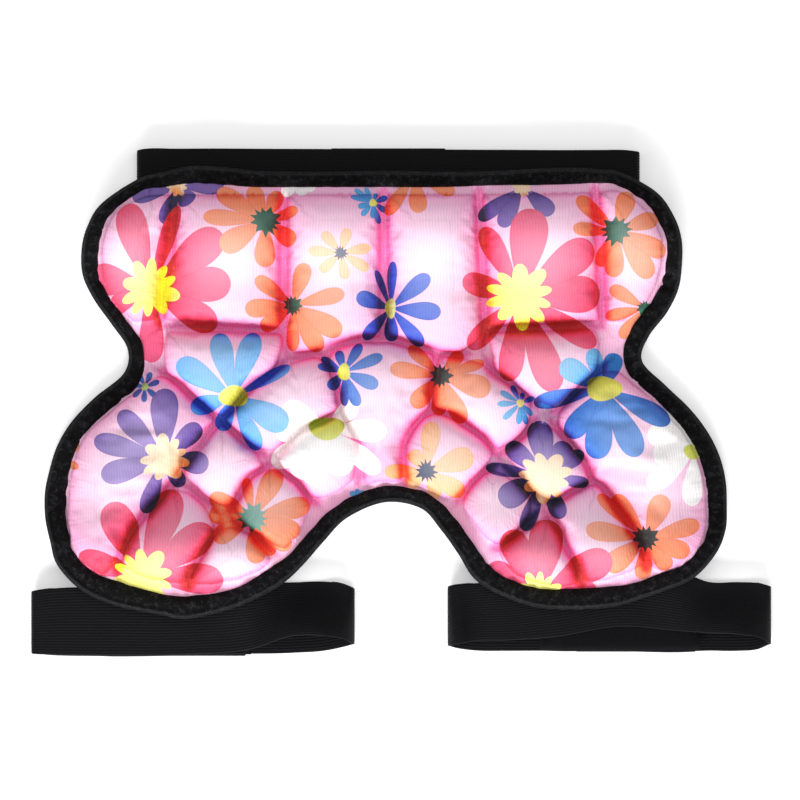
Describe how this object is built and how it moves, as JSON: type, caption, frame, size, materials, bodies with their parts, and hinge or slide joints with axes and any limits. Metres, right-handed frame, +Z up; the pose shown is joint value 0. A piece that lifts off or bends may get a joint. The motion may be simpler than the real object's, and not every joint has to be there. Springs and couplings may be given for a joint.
{
  "type": "tailbone protector",
  "caption": "Child's quilted hip and tailbone pad with a bound edge, an elastic waist loop behind its top and an elastic leg loop behind each lower lobe, lying face up.",
  "frame": {"origin": "middle of the underside of the whole object as it lies", "axes": "+X to the right as seen from above with the waist at the top, +Y towards the waist, +Z up out of the printed face"},
  "size_m": [0.384, 0.2636, 0.0266],
  "materials": {
    "printed_cloth": "fine ribbed stretch knit with a flower print, soft sheen",
    "plain_cloth": "plain stretch knit, matt",
    "binding_tape": "brushed tape, matt and slightly fuzzy",
    "ribbed_elastic": "woven elastic with lengthwise ribs",
    "hook_and_loop": "fuzzy hook-and-loop tape"
  },
  "bodies": {
    "root": {"quilted_pad": "printed_cloth", "rear_cloth": "plain_cloth", "edge_binding": "binding_tape", "waist_belt": "ribbed_elastic", "waist_fastener": "hook_and_loop", "leg_strap_left": "ribbed_elastic", "leg_fastener_left": "hook_and_loop", "leg_strap_right": "ribbed_elastic", "leg_fastener_right": "hook_and_loop"}
  },
  "joints": []
}
